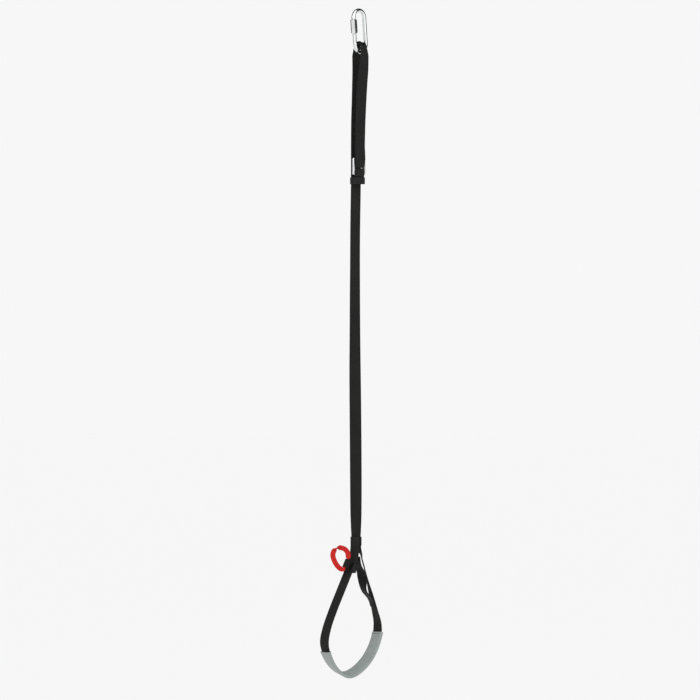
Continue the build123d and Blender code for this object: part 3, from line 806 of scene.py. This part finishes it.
def tube_section(width, thick, corner, count=8):
    """A flat tube's outline: long faces that swell a little and well rounded edges."""
    outline = []
    for cx, cy, start in ((1, 1, 0), (-1, 1, 90), (-1, -1, 180), (1, -1, 270)):
        for a in np.linspace(0, 90, count):
            turn = radians(start + a)
            outline.append(
                (
                    cx * (width / 2 - corner) + corner * cos(turn),
                    cy * (thick / 2 - corner) + corner * sin(turn),
                )
            )
        # points along the next straight face, so that it can swell and crease
        nx = 1 if start >= 180 else -1
        x0, y0 = outline[-1]
        x1, y1 = {
            0: (nx * (width / 2 - corner), thick / 2),
            90: (-width / 2, -(thick / 2 - corner)),
            180: (nx * (width / 2 - corner), -thick / 2),
            270: (width / 2, thick / 2 - corner),
        }[start]
        for t in np.linspace(0, 1, 8)[1:-1]:
            outline.append((x0 + (x1 - x0) * t, y0 + (y1 - y0) * t))
    return np.array(outline)


def sleeve():
    """The tube's outer and inner walls, joined by a rolled lip at both ends."""
    points, along, across, out = course(left_leg[-2:] + sole + right_leg[:2], step=1.6)
    z = points[:, 2] / MM
    x = points[:, 0] / MM
    inside = np.where(z <= np.where(x < -20, *SLEEVE_ENDS))[0]
    first, last = inside[0], inside[-1]
    rings = range(first, last + 1)
    outer = tube_section(SLEEVE_WIDTH, SLEEVE_THICK, 2.1 * MM)
    inner = tube_section(SLEEVE_WIDTH - 2 * SLEEVE_WALL, SLEEVE_THICK - 2 * SLEEVE_WALL, 1.4 * MM)
    run = np.concatenate([[0], np.cumsum(np.linalg.norm(np.diff(points, axis=0), axis=1))])
    total = run[last] - run[first]
    verts = []
    order = [(i, outer, 1.0) for i in rings] + [(i, inner, 0.0) for i in reversed(rings)]
    for i, outline, wall in order:
        u, h = outline[:, 0].copy(), outline[:, 1].copy()
        s = run[i] - run[first]
        end = min(s, total - s)
        # the cut ends flare by a few tenths where the strap pushes on them
        flare = 0.35 * MM * np.exp(-((end / (5 * MM)) ** 2))
        u += np.sign(u) * flare * 0.6
        h += np.sign(h) * flare
        # a crease across the inner face, where the tube kinks under the foot
        kink = np.exp(-(((points[i][0] - CREASE_X) / (5 * MM)) ** 2))
        h += kink * 0.55 * MM * wall * np.where(h < 0, 1 - (2 * u / SLEEVE_WIDTH) ** 2, 0)
        u += np.sign(u) * kink * 0.5 * MM * wall
        # shallow buckles along the inner face
        wave = 0.12 * MM * sin(s / (6.5 * MM)) * wall
        h += np.where(h < 0, wave * (1 - (2 * u / SLEEVE_WIDTH) ** 2), 0)
        verts.append(points[i] + np.outer(u, across[i]) + np.outer(h + SLEEVE_OFF, out[i]))
    around = len(outer)
    count = len(order)
    faces = []
    for ring in range(count):
        for k in range(around):
            a = ring * around + k
            b = ring * around + (k + 1) % around
            c = ((ring + 1) % count) * around
            faces.append((a, b, c + (k + 1) % around, c + k))
    return mesh_of("foot_sleeve_tube", np.concatenate(verts), faces)


def vinyl():
    """Flexible vinyl with a soft sheen: cloudy shade, faint flow lines and scuffed places."""
    skin_of, tree, shader = finish_of("grey_flexible_vinyl", IOR=1.52)
    shader.inputs["Coat Weight"].default_value = 0.08
    shader.inputs["Coat Roughness"].default_value = 0.4
    place = add(tree, "ShaderNodeTexCoord")
    cloud = add(
        tree, "ShaderNodeTexNoise", None, Vector=place.outputs["Object"], Scale=38.0, Detail=4.0
    )
    fine = add(
        tree, "ShaderNodeTexNoise", None, Vector=place.outputs["Object"], Scale=1500.0, Detail=2.0
    )
    tint = add(tree, "ShaderNodeMix", {"data_type": "RGBA"}, Factor=cloud.outputs["Fac"])
    tint.inputs[6].default_value = linear("#868E8A")
    tint.inputs[7].default_value = linear("#9BA3A0")
    scuff = add(
        tree, "ShaderNodeTexNoise", None, Vector=place.outputs["Object"], Scale=260.0, Detail=8.0
    )
    worn = add(tree, "ShaderNodeMapRange", None, Value=scuff.outputs["Fac"])
    worn.inputs["From Min"].default_value = 0.58
    worn.inputs["From Max"].default_value = 0.72
    worn.inputs["To Max"].default_value = 0.35
    marked = add(tree, "ShaderNodeMix", {"data_type": "RGBA"}, Factor=worn.outputs["Result"])
    tree.links.new(tint.outputs[2], marked.inputs[6])
    marked.inputs[7].default_value = linear("#767E7A")
    tree.links.new(marked.outputs[2], shader.inputs["Base Color"])
    rough = add(tree, "ShaderNodeMapRange", None, Value=cloud.outputs["Fac"])
    rough.inputs["To Min"].default_value = 0.38
    rough.inputs["To Max"].default_value = 0.58
    tree.links.new(rough.outputs["Result"], shader.inputs["Roughness"])
    relief = add(tree, "ShaderNodeBump", None, Height=fine.outputs["Fac"], Strength=0.25)
    relief.inputs["Distance"].default_value = 0.06 * MM
    tree.links.new(relief.outputs["Normal"], shader.inputs["Normal"])
    return skin_of


tube = sleeve()
wear(vinyl(), tube)
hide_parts("foot_sleeve")
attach(tube, "loop")

# A strip of stiff plastic lies under the webbing inside the sleeve and keeps the loop open.
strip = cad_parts["sole_stiffener"]
wear(moulded("polyethylene_strip", "#3A3A3A", "#474747", 0.5, 900.0), strip)


def seam_face(stations, index, share, depth):
    """The face of a strap between two stations, for stitches on its inner or outer side."""
    points, along, across, out = course(stations)
    a, b = (Vector(stations[i][:3]) * MM for i in (index, index + 1))
    wanted = np.array(a + (b - a) * share)
    i = int(np.argmin(np.linalg.norm(points - wanted, axis=1)))
    side = Vector(out[i]) * (1 if depth > 0 else -1)
    return Vector(points[i]) + Vector(out[i]) * depth * MM, across[i], along[i], side


# The sleeve's ends are tacked through the webbing so that it can't creep round the loop.
whole_loop = left_leg + sole + right_leg
SLEEVE_FACE = -2.2
for side, index, share in (("left", len(left_leg), 0.15), ("right", len(left_leg) + 7, 0.75)):
    face = seam_face(whole_loop, index, share, SLEEVE_FACE)
    seam = stitch_rows(f"sleeve_seam_thread_{side}", [face], 17 * MM, (0,), slant=0.1)
    wear(BONDED_THREAD, seam)
    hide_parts(f"sleeve_seam_{side}")
    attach(seam, "loop")

# ---- throat strap and slider ------------------------------------------------------------------
# A thinner, softer tape sewn to the loop's right side crosses the throat and ends in a moulded
# slider on the left side. Pulling the ring down draws the throat closed over the instep.
THROAT_WIDTH = 19 * MM
THROAT_THICK = 1.6 * MM
SEAM_FROM = len(left_leg) + len(sole) + 2
SEAM_GAP = 0.45  # room for the thread between the two sewn plies
SLIDER_AT = Vector((-21.632, 0, -943.0))
LEG_UP = Vector((0.4991, 0, 0.8665))
SLIDER_OUT = Vector((-0.8665, 0, 0.4991))
SLOT_IN = 3.8  # the tape's slot lies this far inside the slider's middle


def throat_stations():
    """The tape's way from its seam on the right side, across the throat and into the slider."""
    inside = -(WEB_THICK + THROAT_THICK) / MM / 2 - SEAM_GAP
    rows = []
    for share in (0.5, 1.0):
        middle = seam_face(whole_loop, SEAM_FROM, share, inside)[0] / MM
        rows.append((*middle, -113))
    rows += [
        (27.5, -0.4, -997.5, -112),
        (20.5, -0.4, -991.0, -112),
        (14.2, -0.4, -985.5, -111),
        (10.4, -0.4, -978.5, -104),
        (9.2, -0.3, -969.5, -90),
        (7.6, -0.3, -960, -80),
        (4.4, -0.2, -950, -92),
        (0.2, 0, -940, -110),
        (-3.0, 0, -931.5, -108),
        (-5.6, 0, -926.4, -98),
        (-8.0, 0, -925.2, -90),
        (-10.6, 0, -927.6, -90),
        (-12.9, 0, -932.4, -90),
    ]
    for up in (6.5, 2, -5.5):
        rows.append((*(SLIDER_AT - SLIDER_OUT * SLOT_IN + LEG_UP * up), -90))
    return rows


TAPE_PITCH = 1.0 * MM
throat_tape = webbing(
    "throat_tape",
    course(throat_stations(), step=1.2),
    THROAT_WIDTH,
    THROAT_THICK,
    pitch=TAPE_PITCH,
)
# 070707 is painted shade for the grooves between the yarns
SOFT_TAPE = woven("soft_black_tape", "#161616", "#070707", "#1E1D1C", TAPE_PITCH, 1.3 * MM)
wear(SOFT_TAPE, throat_tape)
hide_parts("throat_strap")
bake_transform(throat_tape)

TAPE_FACE = -(WEB_THICK / 2 + THROAT_THICK) / MM - SEAM_GAP - 0.05
throat_faces = [
    seam_face(whole_loop, SEAM_FROM, share, TAPE_FACE) for share in (0.6, 0.76, 0.9)
]
throat_thread = stitch_rows("throat_seam_thread", throat_faces, 15 * MM, (0,), slant=0.3)
wear(BONDED_THREAD, throat_thread)
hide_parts("throat_stitching")
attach(throat_thread, "loop")

# The slider is moulded in black polyamide, with a slot for each strap and rounded corners.
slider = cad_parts["throat_slider"]
wear(moulded("moulded_polyamide", "#0A0A0B", "#131314", 0.5, 1100.0), slider)

# ---- pull tab and ring ---------------------------------------------------------------------------
# The tab is thin black tape, folded round the ring and sewn to itself. The ring is red tape,
# gathered to pass through the fold, with a half twist at its top that keeps it open.
TAB_WIDTH = 15 * MM
TAB_PLY = 1.5
TUNNEL_ROOM = 2.3
TAB_REACH = 14.0
TAB_SHIFT = -2.0
TUNNEL = SLIDER_AT + Vector((0, TAB_SHIFT, 0)) + SLIDER_OUT * TAB_REACH


def frame_line(path, step=0.8):
    """A course in the plane across the leg: (sideways, outwards) points round the tunnel."""
    rows = np.array(path, float)
    points = [TUNNEL + Vector((0, a, 0)) + SLIDER_OUT * b for a, b in rows]
    flat = course([(*p, 0) for p in points], step)[0]
    along = np.gradient(flat, axis=0)
    along /= np.linalg.norm(along, axis=1)[:, None]
    across = np.tile(np.array(LEG_UP), (len(flat), 1))
    return flat, along, across, np.cross(along, across)


TAB_START = -(TAB_REACH - 4.25)
middle = TUNNEL_ROOM + TAB_PLY / 2
tab_path = [(-0.85, TAB_START), (-0.85, TAB_START + 3), (-1.0, -4.6)]
tab_path += [
    (-middle * cos(a), middle * sin(a)) for a in np.linspace(radians(-42), radians(222), 11)
]
tab_path += [(1.0, -4.6), (0.85, TAB_START + 3), (0.85, TAB_START)]
tab = webbing(
    "folded_pull_tab",
    frame_line(tab_path),
    TAB_WIDTH,
    TAB_PLY * MM,
    pitch=TAPE_PITCH,
    wander=0.03,
)
wear(SOFT_TAPE, tab)
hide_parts("pull_tab")
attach(tab, "slider")

tab_faces = []
for side in (-1, 1):
    at = TUNNEL + Vector((0, side * 1.62, 0)) + SLIDER_OUT * (TAB_START + 2.2)
    tab_faces.append((at * MM, LEG_UP, SLIDER_OUT, Vector((0, side, 0))))
tab_thread = stitch_rows("pull_tab_thread", tab_faces, 12 * MM, (0, 1.8), slant=0.2)
wear(BONDED_THREAD, tab_thread)
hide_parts("pull_tab_stitching")
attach(tab_thread, "slider")

RING_SIDE = Vector((-0.556, 0.766, 0.320))
RING_WIDTH = 8.8 * MM
RING_THICK = 2.0 * MM
GATHERED = 4.0 * MM
TWIST_REACH = 7 * MM
ring_loop = [
    (9.5, 0.2),
    (13.4, 0.8),
    (19.0, 3.6),
    (23.6, 10.0),
    (24.0, 17.0),
    (21.6, 23.4),
    (16.0, 26.6),
    (7.0, 26.2),
    (-3.0, 19.2),
    (-10.4, 9.6),
    (-12.2, 3.4),
    (-10.6, 0.2),
    (-7.5, 0.1),
    (0.0, 0.0),
    (6.5, 0.1),
]


def ring_tape():
    """The closed ring: flat tape that narrows to a cord where it goes through the tab."""
    corners = ring_loop + ring_loop[:3]
    rows = [TUNNEL + LEG_UP * a + RING_SIDE * b for a, b in corners]
    points = course([(*p, 0) for p in rows], 0.7)[0]
    # the closed part of the line starts at the second corner and ends where it comes round
    start = int(np.argmin(np.linalg.norm(points - np.array(rows[1]) * MM, axis=1)))
    other = points[start + 20 :]
    stop = start + 20 + int(np.argmin(np.linalg.norm(other - np.array(rows[1]) * MM, axis=1)))
    points = points[start:stop]
    count = len(points)
    along = np.roll(points, -1, 0) - np.roll(points, 1, 0)
    along /= np.linalg.norm(along, axis=1)[:, None]
    normal = np.array(LEG_UP.cross(RING_SIDE).normalized())
    tunnel = np.array(TUNNEL * MM)
    up = np.array(LEG_UP)
    twist_at = np.array((TUNNEL + LEG_UP * 21.6 + RING_SIDE * 23.4) * MM)
    shape = np.array(section(1.0, 1.0, 0.25))
    verts, weave = [], []
    run = 0.0
    for i in range(count):
        across = np.cross(along[i], normal)
        across /= np.linalg.norm(across)
        from_axis = points[i] - tunnel
        off_axis = np.linalg.norm(from_axis - up * (from_axis @ up))
        beyond = max(0.0, abs(from_axis @ up) - 8.2 * MM)
        open_out = min(1.0, (beyond + max(0.0, off_axis - 0.5 * MM)) / (4.5 * MM))
        open_out = open_out * open_out * (3 - 2 * open_out)
        width = GATHERED + (RING_WIDTH - GATHERED) * open_out
        thick = GATHERED * 0.85 + (RING_THICK - GATHERED * 0.85) * open_out
        # a half turn spread over 14 mm, so that the tape shows its edge once at the top
        along_ring = np.linalg.norm(points[i] - twist_at)
        side = np.sign((points[i] - twist_at) @ along[i])
        turn = 0.0
        if along_ring < TWIST_REACH:
            turn = 0.5 * pi * (1 + side * along_ring / TWIST_REACH)
        wide = across * cos(turn) + normal * sin(turn)
        out = -across * sin(turn) + normal * cos(turn)
        verts.append(
            points[i] + np.outer(shape[:, 0] * width, wide) + np.outer(shape[:, 1] * thick, out)
        )
        row = np.zeros((len(shape), 3))
        row[:, 0] = shape[:, 0] * RING_WIDTH / MM
        row[:, 1] = run / MM
        weave.append(row)
        run += np.linalg.norm(points[(i + 1) % count] - points[i])
    around = len(shape)
    faces = []
    for i in range(count):
        for k in range(around):
            a, b = i * around, ((i + 1) % count) * around
            faces.append((a + k, a + (k + 1) % around, b + (k + 1) % around, b + k))
    ring = mesh_of("red_pull_ring", np.concatenate(verts), faces)
    field = ring.data.attributes.new("weave", "FLOAT_VECTOR", "POINT")
    field.data.foreach_set("vector", np.concatenate(weave).astype(np.float32).ravel())
    return ring


ring = ring_tape()
# 960F14 is painted shade for the grooves between the yarns
RED_TAPE = woven(
    "red_tubular_tape", "#DA2322", "#960F14", "#E0301C", 0.9 * MM, 1.1 * MM, fuzz=0.03, depth=0.25
)
wear(RED_TAPE, ring)
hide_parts("pull_ring")
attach(ring, "ring")
